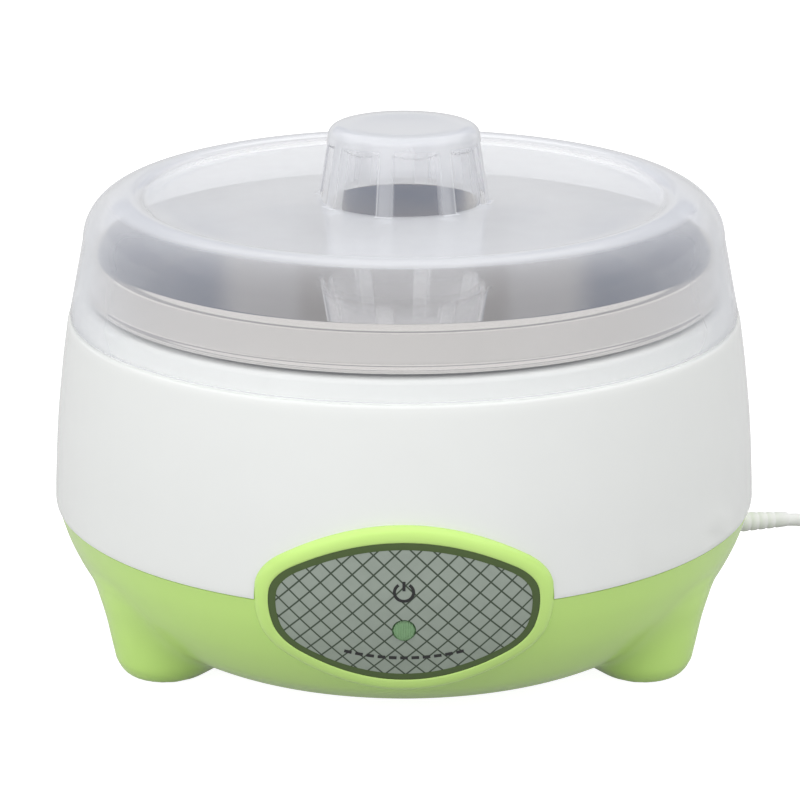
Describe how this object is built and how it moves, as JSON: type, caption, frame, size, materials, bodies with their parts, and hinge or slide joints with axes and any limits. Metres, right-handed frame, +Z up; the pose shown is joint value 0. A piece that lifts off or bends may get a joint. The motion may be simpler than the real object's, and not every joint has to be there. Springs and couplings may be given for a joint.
{
  "type": "yogurt maker",
  "caption": "Small electric yogurt maker: green three-footed base, white body, heated steel pot with steel lid, milky dome lid with fluted knob, indicator panel and mains lead.",
  "frame": {"origin": "on the table, at the centre of the object's footprint, under the vertical axis of the round body", "axes": "+Z up along the axis of the pot and the lids; -Y towards the indicator panel at the front; +X towards the side that the mains lead leaves"},
  "size_m": [0.2861, 0.1886, 0.138],
  "materials": {
    "white_plastic": "glossy white moulded plastic",
    "green_plastic": "satin-gloss light green moulded plastic",
    "milky_plastic": "milky translucent polypropylene",
    "stainless_steel": "fine brushed stainless steel",
    "zinc_steel": "zinc-plated steel",
    "aluminium": "plain pressed aluminium",
    "silver_label": "silver-grey printed foil with a dark grid",
    "label_border": "dark green printed border",
    "green_lens": "translucent green indicator lens",
    "circuit_board": "bare paper-phenolic board",
    "white_ceramic": "off-white ceramic and nylon",
    "silicone": "translucent white silicone rubber",
    "fuse_metal": "tinned fuse case",
    "cord_plastic": "soft white PVC",
    "plated_brass": "nickel-plated brass",
    "brown_wire": "brown PVC insulation",
    "blue_wire": "blue PVC insulation",
    "red_wire": "red PVC insulation",
    "black_wire": "black PVC insulation"
  },
  "bodies": {
    "housing": {"base_shell": "green_plastic", "body_shell": "white_plastic", "housing_screw_1": "zinc_steel", "housing_screw_2": "zinc_steel", "housing_screw_3": "zinc_steel", "label_plate": "silver_label", "indicator_lens": "green_lens", "indicator_led": "green_lens", "indicator_board": "circuit_board", "led_resistor": "white_ceramic", "heating_plate": "aluminium", "plate_gasket": "silicone", "plate_clamp_ring": "zinc_steel", "plate_screw_1": "zinc_steel", "plate_screw_2": "zinc_steel", "plate_screw_3": "zinc_steel", "ptc_heater": "white_ceramic", "heater_strap": "zinc_steel", "strap_screw_1": "zinc_steel", "strap_screw_2": "zinc_steel", "thermal_fuse": "fuse_metal", "strain_relief": "cord_plastic", "inner_sheath": "cord_plastic", "cord_clamp": "white_plastic", "cord_clamp_screw_1": "zinc_steel", "cord_clamp_screw_2": "zinc_steel", "wire_connector_1": "white_ceramic", "wire_connector_2": "white_ceramic", "wire_live": "brown_wire", "wire_neutral": "blue_wire", "wire_fuse_in": "brown_wire", "wire_fuse_out": "red_wire", "wire_heater": "blue_wire", "wire_led_1": "black_wire", "wire_led_2": "black_wire", "power_cord": "cord_plastic", "cord_coil": "cord_plastic", "cord_tie": "white_plastic", "cord_tail": "cord_plastic", "plug_body": "cord_plastic", "plug_blade_1": "plated_brass", "plug_blade_2": "plated_brass"},
    "pot": {"pot": "stainless_steel"},
    "pot_lid": {"pot_lid": "stainless_steel"},
    "dome_lid": {"dome_lid": "milky_plastic"}
  },
  "joints": [
    {"name": "pot_lift", "type": "slide", "parent": "housing", "child": "pot", "axis": [0, 0, 1], "range_m": [0, 0.075]},
    {"name": "pot_lid_lift", "type": "slide", "parent": "pot", "child": "pot_lid", "axis": [0, 0, 1], "range_m": [0, 0.04]},
    {"name": "dome_lid_lift", "type": "slide", "parent": "pot_lid", "child": "dome_lid", "axis": [0, 0, 1], "range_m": [0, 0.06]}
  ]
}
